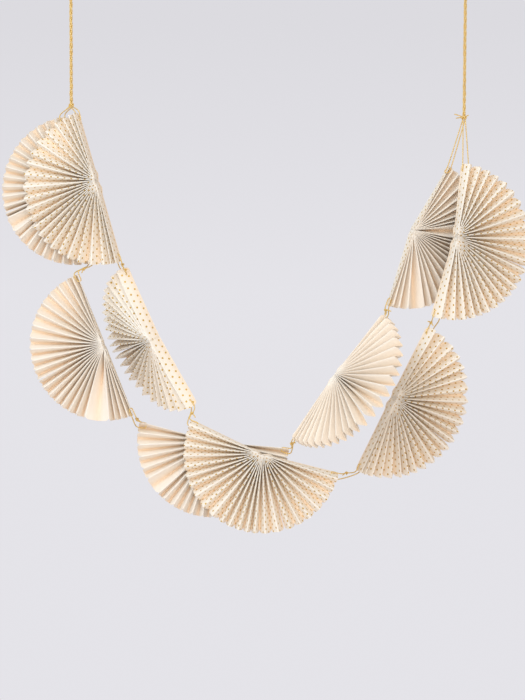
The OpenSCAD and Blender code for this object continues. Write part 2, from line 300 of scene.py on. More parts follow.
def fold_group() -> bpy.types.NodeTree:
    """Build the shader group for the folds of a pleated sheet, which are ridges and valleys by turns.

    Returns:
        A group that puts out 1 on each ridge line, for the worn fold lines with painted highlight, and 1
        falling to 0 on both sides of each valley, for the painted shade in the valleys.
    """
    tree = bpy.data.node_groups.new("Fold lines", "ShaderNodeTree")
    add_sockets(tree, {"Along Sheet": FLOAT, "Panel Width": FLOAT, "Line Width": FLOAT,
                       "Valley Reach": FLOAT, "First Valley": FLOAT}, {"Ridge": FLOAT, "Valley": FLOAT})
    g = Graph(tree)
    source = g.add("NodeGroupInput").outputs
    count = g.over(source["Along Sheet"], source["Panel Width"])
    from_valley = g.math("PINGPONG", g.plus(count, source["First Valley"]), 1.0)
    from_valley = g.times(from_valley, source["Panel Width"])
    from_ridge = g.minus(source["Panel Width"], from_valley)
    ridge = g.minus(1.0, g.over(from_ridge, source["Line Width"]))
    # The valley mask carries the painted shade of the folds.
    valley = g.minus(1.0, g.over(from_valley, source["Valley Reach"]))
    out = g.add("NodeGroupOutput")
    g.feed(out.inputs["Ridge"], g.most(ridge, 0.0))
    g.feed(out.inputs["Valley"], g.most(valley, 0.0))
    return tree


def dot_group() -> bpy.types.NodeTree:
    """Build the shader group for the printed dots, in staggered rows across the sheet.

    Returns:
        A group that puts out 1 inside a dot and 0 outside.
    """
    tree = bpy.data.node_groups.new("Printed dots", "ShaderNodeTree")
    add_sockets(tree, {"Along Sheet": FLOAT, "Along Fold": FLOAT, "Row Step": FLOAT, "Dot Step": FLOAT,
                       "Dot Radius": FLOAT}, {"Mask": FLOAT})
    g = Graph(tree)
    source = g.add("NodeGroupInput").outputs
    row = g.over(source["Along Sheet"], source["Row Step"])
    stagger = g.times(g.math("FLOORED_MODULO", g.math("FLOOR", row), 2.0), 0.5)
    column = g.plus(g.over(source["Along Fold"], source["Dot Step"]), stagger)
    dx = g.times(g.minus(g.math("FRACT", row), 0.5), source["Row Step"])
    dy = g.times(g.minus(g.math("FRACT", column), 0.5), source["Dot Step"])
    away = g.math("SQRT", g.plus(g.times(dx, dx), g.times(dy, dy)))
    edge = g.out("ShaderNodeMapRange", {"Value": g.over(away, source["Dot Radius"]), "From Min": 0.85,
                                        "From Max": 1.12, "To Min": 1.0, "To Max": 0.0})
    out = g.add("NodeGroupOutput")
    g.feed(out.inputs["Mask"], edge)
    return tree


@dataclass(frozen=True)
class CardFinish:
    """One printed face of the card."""

    name: str
    ground: tuple[float, float, float]
    # Worn white fold lines on the ridges, partly wear and partly painted highlight.
    worn_and_highlight: tuple[float, float, float] = (1.0, 0.985, 0.96)
    dots: tuple[float, float, float] | None = None
    row_step: float = 5.6 * MM
    dot_step: float = 6.8 * MM
    dot_radius: float = 1.0 * MM
    line_width: float = 0.7 * MM
    worn_and_highlight_share: float = 0.95
    # Painted shade: a warm tan laid into the card towards each valley fold, over this reach and at this
    # share.
    painted_shade: tuple[float, float, float] = (0.9, 0.68, 0.46)
    painted_shade_reach: float = 7 * MM
    painted_shade_share: float = 0.5
    first_valley: float = 0.0
    hub_reach: float = 9 * MM
    fibre_scale: float = 2200.0
    tint_range: float = 0.05
    roughness: float = 0.78

    def material(self, groups: "SharedGroups") -> bpy.types.Material:
        """Build the face's material.

        Args:
            groups: the shader groups that every card finish uses.

        Returns:
            A material that reads the sheet's own UV map.
        """
        material = bpy.data.materials.new(self.name)
        material.use_nodes = True
        g = Graph(material.node_tree)
        shader = material.node_tree.nodes["Principled BSDF"]
        uv = g.out("ShaderNodeUVMap", uv_map=UV_NAME)
        along = g.add("ShaderNodeSeparateXYZ", {0: uv}).outputs
        place = g.add("ShaderNodeTexCoord").outputs["Object"]
        fibres = g.add("ShaderNodeGroup", {"Vector": place, "Scale": self.fibre_scale,
                                           "Tint Range": self.tint_range}, node_tree=groups.fibres)
        hub = g.bell(along[1], 0.0, self.hub_reach)
        line = g.mixed_value(hub, self.line_width, self.line_width * HUB_LINE)
        folds = g.add("ShaderNodeGroup", {
            "Along Sheet": along[0], "Panel Width": PANEL, "Line Width": line,
            "Valley Reach": self.painted_shade_reach, "First Valley": self.first_valley}, node_tree=groups.folds)
        # Painted shade: the ground turns to tan towards each valley fold.
        colour = self.mixed_colour(g, self.ground, self.painted_shade, g.times(folds.outputs["Valley"],
                                                                       self.painted_shade_share))
        # Worn white fold lines on the ridges, partly wear and partly painted highlight, wider at the hub.
        colour = self.mixed_colour(g, colour, self.worn_and_highlight, g.times(folds.outputs["Ridge"], self.worn_and_highlight_share))
        if self.dots:
            dots = g.add("ShaderNodeGroup", {
                "Along Sheet": along[0], "Along Fold": along[1], "Row Step": self.row_step,
                "Dot Step": self.dot_step, "Dot Radius": self.dot_radius}, node_tree=groups.dots)
            mask = dots.outputs["Mask"]
            colour = self.mixed_colour(g, colour, self.dots, mask)
            g.feed(shader.inputs["Roughness"], g.mixed_value(mask, self.roughness, DOT_ROUGHNESS))
            g.feed(shader.inputs["Metallic"], g.times(mask, DOT_METALLIC))
        else:
            g.feed(shader.inputs["Roughness"], self.roughness)
        tinted = g.add("ShaderNodeVectorMath", {0: colour, "Scale": fibres.outputs["Tint"]},
                       operation="SCALE")
        g.feed(shader.inputs["Base Color"], tinted.outputs[0])
        bump = g.add("ShaderNodeBump", {"Height": fibres.outputs["Height"], "Strength": 0.12,
                                        "Distance": 0.00012})
        g.feed(shader.inputs["Normal"], bump.outputs[0])
        return material

    @staticmethod
    def mixed_colour(g: Graph, a: object, b: object, factor: Socket) -> Socket:
        """Mix two colours, a at factor 0 and b at factor 1."""
        node = g.add("ShaderNodeMix", data_type="RGBA")
        g.feed(node.inputs[0], factor)
        g.feed(node.inputs[6], (*a, 1.0) if isinstance(a, tuple) else a)
        g.feed(node.inputs[7], (*b, 1.0) if isinstance(b, tuple) else b)
        return node.outputs[2]


@dataclass(frozen=True)
class GoldThreadFinish:
    """Metallic gold yarn, lighter and browner in random specks."""

    name: str = "gold_thread"
    light: tuple[float, float, float] = (1.0, 0.78, 0.34)
    dark: tuple[float, float, float] = (0.76, 0.5, 0.15)
    speckle_scale: float = 1600.0

    def material(self) -> bpy.types.Material:
        """Build the thread's material."""
        material = bpy.data.materials.new(self.name)
        material.use_nodes = True
        g = Graph(material.node_tree)
        shader = material.node_tree.nodes["Principled BSDF"]
        place = g.add("ShaderNodeTexCoord").outputs["Object"]
        speckle = g.out("ShaderNodeTexNoise", {"Vector": place, "Scale": self.speckle_scale, "Detail": 3.0})
        spread = g.out("ShaderNodeMapRange", {"Value": speckle, "From Min": 0.35, "From Max": 0.65})
        g.feed(shader.inputs["Base Color"], CardFinish.mixed_colour(g, self.dark, self.light, spread))
        g.feed(shader.inputs["Roughness"], g.mixed_value(spread, 0.5, 0.34))
        shader.inputs["Metallic"].default_value = 0.4
        bump = g.add("ShaderNodeBump", {"Height": speckle, "Strength": 0.4, "Distance": 0.0001})
        g.feed(shader.inputs["Normal"], bump.outputs[0])
        return material


class SharedGroups:
    """The shader groups that more than one finish uses."""

    def __init__(self) -> None:
        """Build each group once."""
        self.fibres = fibre_group()
        self.folds = fold_group()
        self.dots = dot_group()


@dataclass
class Finishes:
    """Every finish of the garland, built once."""

    groups: SharedGroups = field(default_factory=SharedGroups)
    dotted: bpy.types.Material = field(init=False)
    plain: bpy.types.Material = field(init=False)
    edge: bpy.types.Material = field(init=False)
    thread: bpy.types.Material = field(init=False)

    def __post_init__(self) -> None:
        """Build the materials from their finishes."""
        white = CardFinish("dotted_card", ground=(0.97, 0.925, 0.86), dots=(0.62, 0.39, 0.07))
        cream = CardFinish("plain_card", ground=(0.97, 0.905, 0.83), line_width=0.5 * MM,
                            first_valley=1.0)
        cut = CardFinish("card_edge", ground=(0.98, 0.94, 0.88), line_width=0.1 * MM, painted_shade_share=0.0)
        self.dotted = white.material(self.groups)
        self.plain = cream.material(self.groups)
        self.edge = cut.material(self.groups)
        self.thread = GoldThreadFinish().material()


class PleatTree:
    """The Geometry Nodes tree that pleats a sheet of card along a list of fold directions."""

    INPUTS = {
        "Guide": GEOMETRY, "Columns": WHOLE, "Rows": WHOLE, "Seed": WHOLE, "Face": MATERIAL,
        "Even Fold Side": FLOAT, "Lobe": FLOAT, "Tip At Start": FLOAT, "Tip At End": FLOAT,
    } | dict.fromkeys(PLEAT_FORM, FLOAT)

    def __init__(self) -> None:
        """Build the tree."""
        self.tree = bpy.data.node_groups.new("Pleated sheet", "GeometryNodeTree")
        add_sockets(self.tree, self.INPUTS, {"Sheet": GEOMETRY})
        self.g = Graph(self.tree)
        self.source = self.g.add("NodeGroupInput").outputs
        self.build()

    def sampled(self, name: str, index: Socket) -> Socket:
        """Read one of the guide's values at a fold's number."""
        value = self.g.out("GeometryNodeInputNamedAttribute", {"Name": name}, data_type="FLOAT")
        node = self.g.add("GeometryNodeSampleIndex", {"Geometry": self.source["Guide"], "Value": value,
                                                      "Index": index}, data_type="FLOAT", domain="POINT",
                          clamp=True)
        return node.outputs[0]

    def depth(self, half_angle: Socket, radius: Socket, plane: Socket) -> Socket:
        """Work out how deep an odd fold lies at a radius, from the width of its panels."""
        g = self.g
        across = g.times(g.times(radius, 2.0), g.sine(half_angle))
        width = self.source["Panel Width"]
        square = g.minus(g.times(width, width), g.times(across, across))
        deep = g.math("SQRT", g.most(square, 0.04 * MM * MM))
        return g.times(plane, g.minus(1.0, g.over(g.times(deep, 2.0), width)))

    def build(self) -> None:
        """Write the tree: a grid, its sheet coordinates, its folded places, its material."""
        g, source = self.g, self.source
        folds = g.out("GeometryNodeAttributeDomainSize", {"Geometry": source["Guide"]}, component="MESH")
        panels = g.minus(folds, 1.0)
        grid = g.add("GeometryNodeMeshGrid", {
            "Size X": 1.0, "Size Y": 1.0, "Vertices Y": source["Rows"],
            "Vertices X": g.plus(g.times(panels, source["Columns"]), 1.0)})
        flat = g.add("ShaderNodeSeparateXYZ", {0: g.out("GeometryNodeInputPosition")}).outputs
        across = g.times(g.plus(flat[0], 0.5), panels)
        out = g.plus(flat[1], 0.5)
        panel = g.math("MINIMUM", g.math("FLOOR", g.plus(across, 0.0001)), g.minus(panels, 1.0))
        even_step = g.minus(across, panel)
        curl = g.times(g.sine(g.times(even_step, math.tau)), 0.8 / math.tau)
        step = g.minus(even_step, curl)
        following = g.plus(panel, 1.0)
        a0, a1 = self.sampled("direction", panel), self.sampled("direction", following)
        rim0, rim1 = self.sampled("rim", panel), self.sampled("rim", following)
        odd = g.math("FLOORED_MODULO", panel, 2.0)
        inner = source["Pinch Radius"]
        back = self.rounding(g.either(odd, g.minus(1.0, step), step))
        r0 = g.mixed(inner, g.minus(rim0, back), out)
        r1 = g.mixed(inner, g.minus(rim1, back), out)
        half_angle = g.times(g.math("ABSOLUTE", g.minus(a1, a0)), 0.5)
        plane = g.times(g.times(source["Panel Width"], 0.5), source["Even Fold Side"])
        y0 = g.either(odd, self.depth(half_angle, r0, plane), plane)
        y1 = g.either(odd, plane, self.depth(half_angle, r1, plane))
        first = g.math("LESS_THAN", panel, 0.5)
        last = g.math("GREATER_THAN", panel, g.minus(panels, 1.5))
        start_edge = g.times(first, g.minus(1.0, step))
        end_edge = g.times(last, step)
        tips = g.plus(g.times(start_edge, source["Tip At Start"]), g.times(end_edge, source["Tip At End"]))
        fade = g.math("POWER", g.minus(1.0, out), 5.0)
        p0 = self.fold_point(a0, r0, y0, g.times(self.sampled("gather", panel), fade))
        p1 = self.fold_point(a1, r1, y1, g.times(self.sampled("gather", following), fade))
        straight = g.vector("ADD", p0, g.scaled(g.vector("SUBTRACT", p1, p0), step))
        turn = g.mixed(a0, a1, step)
        sideways = g.joined(g.cosine(turn), 0.0, g.times(g.sine(turn), -1.0))
        shift = self.sideways_shift(step, out, panel, g.mixed(r0, r1, step), tips, start_edge, end_edge)
        lift = self.depth_shift(step, out, panel, panels, odd, plane, across)
        bent = g.vector("ADD", g.vector("ADD", straight, g.scaled(sideways, shift)), g.joined(0.0, lift, 0.0))
        far_half = source["Tip At End"]
        number = g.plus(panel, step)
        sheet = g.times(g.either(far_half, g.minus(panels, number), number), source["Panel Width"])
        along_fold = g.times(g.mixed(r0, r1, step), g.minus(1.0, g.times(far_half, 2.0)))
        stored = g.add("GeometryNodeStoreNamedAttribute", {
            "Geometry": grid.outputs["Mesh"], "Name": UV_NAME,
            "Value": g.joined(sheet, along_fold, 0.0)}, data_type="FLOAT2", domain="CORNER")
        moved = g.add("GeometryNodeSetPosition", {"Geometry": stored.outputs[0], "Position": bent})
        smooth = g.add("GeometryNodeSetShadeSmooth", {"Geometry": moved.outputs[0]})
        real = g.add("GeometryNodeRealizeInstances", {"Geometry": smooth.outputs[0]})
        dressed = g.add("GeometryNodeSetMaterial", {"Geometry": real.outputs[0], "Material": source["Face"]})
        g.feed(g.add("NodeGroupOutput").inputs["Sheet"], dressed.outputs[0])

    def rounding(self, step: Socket) -> Socket:
        """Work out how far the rim is rounded back at a share of the panel's width from its even fold."""
        g, source = self.g, self.source
        away = g.over(g.times(step, source["Panel Width"]), source["Round Reach"])
        near = g.most(g.minus(1.0, away), 0.0)
        arc = g.math("SQRT", g.minus(1.0, g.times(near, near)))
        return g.times(g.minus(1.0, arc), source["Round Back"])

    def fold_point(self, angle: Socket, radius: Socket, depth: Socket, gather: Socket) -> Socket:
        """Work out a point of a fold, which starts from its own place in the gathered pinch."""
        g = self.g
        side = g.sine(angle)
        return g.joined(g.plus(g.times(side, radius), gather), depth, g.times(g.cosine(angle), radius))

    def sideways_shift(self, step: Socket, out: Socket, panel: Socket, radius: Socket, tips: Socket,
                       start_edge: Socket, end_edge: Socket) -> Socket:
        """Work out how far a point moves round the fan: a panel's bow, the curled tips and the open slit."""
        g, source = self.g, self.source
        chance = g.add("FunctionNodeRandomValue", {2: -0.4, 3: 1.0, "ID": panel, "Seed": source["Seed"]},
                       data_type="FLOAT")
        drawn = chance.outputs[1]
        arch = g.times(g.sine(g.times(step, math.pi)), out)
        bow = g.times(g.times(arch, drawn), source["Bow"])
        puff = g.minus(self.crease_side(step), self.crease_side(g.minus(1.0, step)))
        bow = g.plus(bow, g.times(puff, source["Crease Width"]))
        edge_side = g.minus(end_edge, start_edge)
        lobe = g.times(g.times(g.bell(radius, 7 * MM, 3.4 * MM), source["Lobe"]), tips)
        opened = g.over(g.minus(out, source["Slit Start"]), g.minus(1.0, source["Slit Start"]))
        joins = g.minus(g.plus(start_edge, end_edge), tips)
        slit = g.times(g.times(g.most(opened, 0.0), source["Slit"]), g.most(joins, 0.0))
        return g.plus(bow, g.times(edge_side, g.minus(lobe, slit)))

    def crease_side(self, step: Socket) -> Socket:
        """Rise from 0 at a crease to 1 close beside it and fall to 0 again, as a folded card's roll does."""
        g, source = self.g, self.source
        reach = g.times(source["Crease Radius"], 1.3)
        near = g.minus(1.0, g.over(g.times(step, source["Panel Width"]), reach))
        near = g.most(near, 0.0)
        return g.times(g.times(near, g.minus(1.0, near)), 4.0)

    def depth_shift(self, step: Socket, out: Socket, panel: Socket, panels: Socket, odd: Socket,
                    plane: Socket, across: Socket) -> Socket:
        """Work out how far a point moves in depth: rounded creases and a slight wave near the rim."""
        g, source = self.g, self.source
        width = source["Panel Width"]
        near0 = g.minus(1.0, g.over(g.times(step, width), source["Crease Radius"]))
        near1 = g.minus(1.0, g.over(g.times(g.minus(1.0, step), width), source["Crease Radius"]))
        inside0 = g.math("GREATER_THAN", panel, 0.5)
        inside1 = g.math("LESS_THAN", panel, g.minus(panels, 1.5))
        round0 = g.times(g.math("POWER", g.most(near0, 0.0), 2.0), inside0)
        round1 = g.times(g.math("POWER", g.most(near1, 0.0), 2.0), inside1)
        side = g.times(g.math("SIGN", plane), g.minus(g.times(odd, 2.0), 1.0))
        crease = g.times(g.times(g.minus(round0, round1), side), g.times(source["Crease Depth"], out))
        place = g.joined(g.times(across, 0.45), g.times(out, 1.6), source["Seed"])
        noise = g.out("ShaderNodeTexNoise", {"Vector": place, "Scale": 1.0, "Detail": 1.0})
        wave = g.times(g.times(g.minus(noise, 0.5), source["Wave"]), g.math("POWER", out, 2.0))
        return g.plus(crease, wave)


@dataclass
class PleatedFan:
    """One rectangle of card, pleated, pinched at its middle and opened to a half circle."""

    name: str
    at: Point
    facing: float
    turn: float
    pleats: list[int]
    trim: tuple[float, float]
    join: int
    face: CardFace
    lobe: float = 1.6 * MM
    seed: int = 0
    hub_width: float = 8 * MM
    open_edge: float = 4.0
    flat_edge: float = 0.0
    columns: int = 8
    rows: int = 26

    def folds(self) -> list[float]:
        """Directions of the folds about the fan's middle, in radians, from its first tip to its last."""
        half = sum(self.pleats) / 2
        found, angle = [], -half
        for pleat in self.pleats:
            found += [angle, angle + pleat / 2]
            angle += pleat
        return [math.radians(a) for a in found + [angle]]

    def rim(self, angle: float) -> float:
        """Radius of the rim in a direction."""
        first, last = (t * MM for t in self.trim)
        return FAN_R - (first + last) / 2 + (first - last) / 2 * math.sin(angle)

    def gather(self, angle: float) -> float:
        """How far to the side of the hub's middle a fold starts, which is nothing at the straight edge."""
        end = self.folds()[-1]
        inside = min(1.0, max(0.0, (end - abs(angle)) / math.radians(self.open_edge) - self.flat_edge))
        return self.hub_width / 2 * math.sin(angle) * inside

    def matrix(self) -> Matrix:
        """Place of the fan's own frame in the garland's."""
        spin = Matrix.Rotation(math.radians(90 - self.facing), 4, "Y")
        tip = Matrix.Rotation(math.radians(-self.turn), 4, "X")
        return Matrix.Translation(Vector(self.at) * MM) @ spin @ tip

    def hole_depth(self) -> float:
        """Depth of a thread hole in the fan's own frame."""
        return (-1 if self.face is CardFace.PLAIN else 1) * PANEL / 6

    def tip_route(self, last: bool) -> list[Vector]:
        """Find the way of a thread in through the hole at a tip, from outside the rim to the pleat's mouth.

        Args:
            last: True for the fan's last tip, False for its first.

        Returns:
            Six points in the garland's frame.
        """
        a = self.folds()
        end, inward = (len(a) - 1, -1) if last else (0, 1)
        rim = self.rim(a[end])
        hole = rim - HOLE_INSET
        inside = a[end + inward]
        across = 2 * hole * math.sin(abs(inside - a[end]) / 2)
        share = (PANEL / 2 - abs(self.hole_depth())) / math.sqrt(PANEL ** 2 - across ** 2)
        outside = a[end] + share * (inside - a[end]) - inward * THREAD_OFF / rim
        bend = inward * THREAD_BEND / hole
        turns = [(outside, rim + THREAD_OFF), (outside, hole + THREAD_BEND), (outside + bend, hole),
                 (inside - bend, hole), (inside, hole + THREAD_BEND), (inside, rim + THREAD_OFF)]
        move = self.matrix()
        return [move @ Vector((r * math.sin(t), self.hole_depth(), r * math.cos(t))) for t, r in turns]

    def guide(self, angles: list[float], name: str) -> bpy.types.Object:
        """Make the guide that the tree reads: one vertex for each fold.

        Args:
            angles: the directions of this sheet's folds.
            name: the guide's name.

        Returns:
            An object whose mesh holds each fold's direction and rim.
        """
        mesh = bpy.data.meshes.new(name)
        mesh.from_pydata([(math.sin(a), 0.0, math.cos(a)) for a in angles], [], [])
        values = {"direction": angles, "rim": [self.rim(a) for a in angles],
                  "gather": [self.gather(a) for a in angles]}
        for key, numbers in values.items():
            mesh.attributes.new(key, "FLOAT", "POINT").data.foreach_set("value", numbers)
        return placed(name, mesh)

    def half_sheet(self, tree: PleatTree, finishes: Finishes, second: bool) -> bpy.types.Mesh:
        """Pleat the part of the sheet before or after the slit.

        Args:
            tree: the pleating tree.
            finishes: the garland's materials.
            second: True for the part after the slit.

        Returns:
            A mesh with the card's thickness and three materials: front, back and cut edge.
        """
        cut = 2 * self.join
        angles = self.folds()[cut:] if second else self.folds()[:cut + 1]
        obj = self.guide(angles, self.name + "_guide")
        dotted = self.face is CardFace.DOTTED
        front, back = (finishes.dotted, finishes.plain) if dotted else (finishes.plain, finishes.dotted)
        modifier = obj.modifiers.new("pleats", "NODES")
        modifier.node_group = tree.tree
        set_inputs(modifier, PLEAT_FORM | {
            "Columns": self.columns, "Rows": self.rows, "Even Fold Side": 1.0 if dotted else -1.0,
            "Seed": self.seed + int(second), "Lobe": self.lobe, "Tip At Start": float(not second),
            "Tip At End": float(second), "Face": front})
        sheet = placed(self.name + "_sheet", baked(obj))
        for material in (back, finishes.edge):
            sheet.data.materials.append(material)
        thick = sheet.modifiers.new("thickness", "SOLIDIFY")
        thick.thickness = CARD
        thick.offset = 0.0
        thick.use_even_offset = False
        thick.use_rim = True
        thick.material_offset = 1
        thick.material_offset_rim = 2
        return baked(sheet)

    def build(self, tree: PleatTree, finishes: Finishes) -> bpy.types.Object:
        """Make the fan and put it in place of its node.

        Args:
            tree: the pleating tree.
            finishes: the garland's materials.

        Returns:
            The finished piece.
        """
        halves = [self.half_sheet(tree, finishes, second) for second in (False, True)]
        mesh = merged(self.name + "_card", halves)
        mesh.transform(self.matrix())
        mesh.set_sharp_from_angle(angle=math.radians(50))
        piece = placed(self.name + "_card", mesh)
        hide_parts(self.name)
        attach(piece, BODY)
        return piece


class ThreadTree:
    """The Geometry Nodes tree that lays twisted thread along a line."""

    INPUTS = {
        "Line": GEOMETRY, "Radius": FLOAT, "Plies": FLOAT,
        "Ply Depth": FLOAT, "Ply Pitch": FLOAT, "Strands": WHOLE,
        "Spread": FLOAT, "Strand Pitch": FLOAT, "Looseness": FLOAT,
        "Step": FLOAT, "Sides": WHOLE, "Finish": MATERIAL,
    }

    def __init__(self) -> None:
        """Build the tree."""
        self.tree = bpy.data.node_groups.new("Twisted thread", "GeometryNodeTree")
        add_sockets(self.tree, self.INPUTS, {"Thread": GEOMETRY})
        self.g = Graph(self.tree)
        self.source = self.g.add("NodeGroupInput").outputs
        self.build()

    def section(self) -> Socket:
        """Make the section of one strand: a circle with a lobe for each ply."""
        g, source = self.g, self.source
        circle = g.add("GeometryNodeCurvePrimitiveCircle", {"Resolution": source["Sides"],
                                                            "Radius": source["Radius"]})
        place = g.out("GeometryNodeInputPosition")
        parts = g.add("ShaderNodeSeparateXYZ", {0: place}).outputs
        angle = g.times(g.math("ARCTAN2", parts[1], parts[0]), source["Plies"])
        hollow = g.minus(0.5, g.times(g.cosine(angle), 0.5))
        size = g.minus(1.0, g.times(source["Ply Depth"], hollow))
        return g.out("GeometryNodeSetPosition", {"Geometry": circle.outputs[0],
                                                 "Position": g.scaled(place, size)})

    def build(self) -> None:
        """Write the tree: a smooth line, its strands, their twist and their material."""
        g, source = self.g, self.source
        line = g.out("GeometryNodeMeshToCurve", {0: source["Line"]})
        soft = g.out("GeometryNodeCurveSplineType", {0: line}, spline_type="CATMULL_ROM")
        fine = g.add("GeometryNodeResampleCurve", {"Curve": soft, "Length": source["Step"]}, mode="LENGTH")
        captured = g.add("GeometryNodeCaptureAttribute", domain="POINT")
        captured.capture_items.new("VECTOR", "Normal")
        captured.capture_items.new("VECTOR", "Tangent")
        captured.capture_items.new("FLOAT", "Length")
        g.feed(captured.inputs[0], fine.outputs[0])
        g.feed(captured.inputs[1], g.out("GeometryNodeInputNormal"))
        g.feed(captured.inputs[2], g.out("GeometryNodeInputTangent"))
        length = g.add("GeometryNodeSplineParameter").outputs["Length"]
        g.feed(captured.inputs[3], length)
        _, normal, tangent, along = captured.outputs[:4]
        copies = g.add("GeometryNodeDuplicateElements", {"Geometry": captured.outputs[0],
                                                         "Amount": source["Strands"]}, domain="SPLINE")
        number = copies.outputs["Duplicate Index"]
        turn = g.times(g.plus(g.over(number, source["Strands"]), g.over(along, source["Strand Pitch"])),
                       math.tau)
        place = g.joined(g.times(along, 90.0), g.times(number, 7.3), 0.0)
        noise = g.out("ShaderNodeTexNoise", {"Vector": place, "Scale": 1.0, "Detail": 0.0})
        loose = g.plus(1.0, g.times(g.minus(noise, 0.5), source["Looseness"]))
        reach = g.times(source["Spread"], loose)
        across = g.vector("CROSS_PRODUCT", tangent, normal)
        offset = g.vector("ADD", g.scaled(normal, g.times(g.cosine(turn), reach)),
                          g.scaled(across, g.times(g.sine(turn), reach)))
        laid = g.out("GeometryNodeSetPosition", {"Geometry": copies.outputs[0], "Offset": offset})
        twist = g.times(g.over(along, source["Ply Pitch"]), math.tau)
        twisted = g.out("GeometryNodeSetCurveTilt", {"Curve": laid, "Tilt": twist})
        tube = g.out("GeometryNodeCurveToMesh", {"Curve": twisted, "Profile Curve": self.section(),
                                                 "Fill Caps": True})
        smooth = g.out("GeometryNodeSetShadeSmooth", {"Geometry": tube})
        real = g.out("GeometryNodeRealizeInstances", {"Geometry": smooth})
        dressed = g.out("GeometryNodeSetMaterial", {"Geometry": real, "Material": source["Finish"]})
        g.feed(g.add("NodeGroupOutput").inputs["Thread"], dressed)


@dataclass
class ThreadMaker:
    """Lays thread, knots and cut ends with one tree and one finish."""

    tree: ThreadTree
    finish: bpy.types.Material

    def lay(self, points: list[Vector], closed: bool = False, **changes: object) -> bpy.types.Mesh:
        """Lay thread along some points.

        Args:
            points: the places that the thread passes, in order.
            closed: True where the last point leads back to the first.
            changes: values for the tree's inputs, with underscores for spaces.

        Returns:
            The thread's mesh.
        """
        values = {"Radius": THREAD_R, "Plies": 2.0, "Ply Depth": 0.3, "Ply Pitch": 3.2 * MM, "Strands": 1,
                  "Spread": 0.0, "Strand Pitch": 26 * MM, "Looseness": 0.0, "Step": 0.55 * MM, "Sides": 10,
                  "Finish": self.finish}
        values.update({k.replace("_", " "): v for k, v in changes.items()})
        mesh = bpy.data.meshes.new("line")
        links = [(i, i + 1) for i in range(len(points) - 1)] + ([(len(points) - 1, 0)] if closed else [])
        mesh.from_pydata(points, links, [])
        obj = placed("line", mesh)
        modifier = obj.modifiers.new("thread", "NODES")
        modifier.node_group = self.tree.tree
        set_inputs(modifier, values)
        return baked(obj)

    def knot(self, at: Vector, along: Vector, size: float, turns: int = 1, radius: float = THREAD_R
             ) -> list[bpy.types.Mesh]:
        """Tie a tight overhand knot.

        Args:
            at: the knot's middle.
            along: the direction of the thread through it.
            size: the knot's diameter.
            turns: how many strands cross in it.
            radius: the radius of its strands.

        Returns:
            One mesh for each strand.
        """
        swing = along.normalized().to_track_quat("Z", "Y").to_matrix()
        meshes = []
        for turn in range(turns):
            reach = (size / 2 - radius) / 3 * (1 - 0.12 * turn)
            spin = Matrix.Rotation(turn * math.pi / 3, 3, "Z")
            points = []
            for i in range(30):
                t = math.tau * i / 30
                loop = Vector((math.sin(t) + 2 * math.sin(2 * t), math.cos(t) - 2 * math.cos(2 * t),
                               -1.6 * math.sin(3 * t)))
                points.append(at + swing @ spin @ loop * reach)
            meshes.append(self.lay(points, closed=True, Radius=radius, Step=0.4 * MM))
        return meshes

    def tail(self, at: Vector, reach: Point) -> bpy.types.Mesh:
        """Lay the cut end of a thread, which droops a little on its way out of a knot."""
        end = Vector(reach) * MM
        return self.lay([at, at + end * 0.5 + Vector((0, 0, 0.4 * MM)), at + end])

    def piece(self, node: str, meshes: list[bpy.types.Mesh], name: str | None = None) -> bpy.types.Object:
        """Join meshes to the piece that stands for a node.

        Args:
            node: the node's name.
            meshes: the meshes of the piece.
            name: the piece's name, where it isn't the node's.

        Returns:
            The finished piece.
        """
        obj = placed(name or node + "_yarn", merged(name or node, meshes))
        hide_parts(node)
        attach(obj, BODY)
        return obj


@dataclass
class Tie:
    """A short thread through the tips of two fans, with its knot and cut ends."""

    name: str
    first: PleatedFan
    second: PleatedFan
    knot: float
    tails: tuple[Point, ...]
    size: float = 4 * MM

    def build(self, maker: ThreadMaker) -> bpy.types.Object:
        """Lay the thread and tie its knot."""
        there = self.first.tip_route(last=False)
        back = list(reversed(self.second.tip_route(last=True)))
        at = there[0].lerp(back[-1], self.knot)
        along = there[0] - back[-1]
        meshes = [maker.lay([at] + there + back + [at])]
        meshes += maker.knot(at, along, self.size)
        meshes += [maker.tail(at, t) for t in self.tails]
        return maker.piece(self.name, meshes)


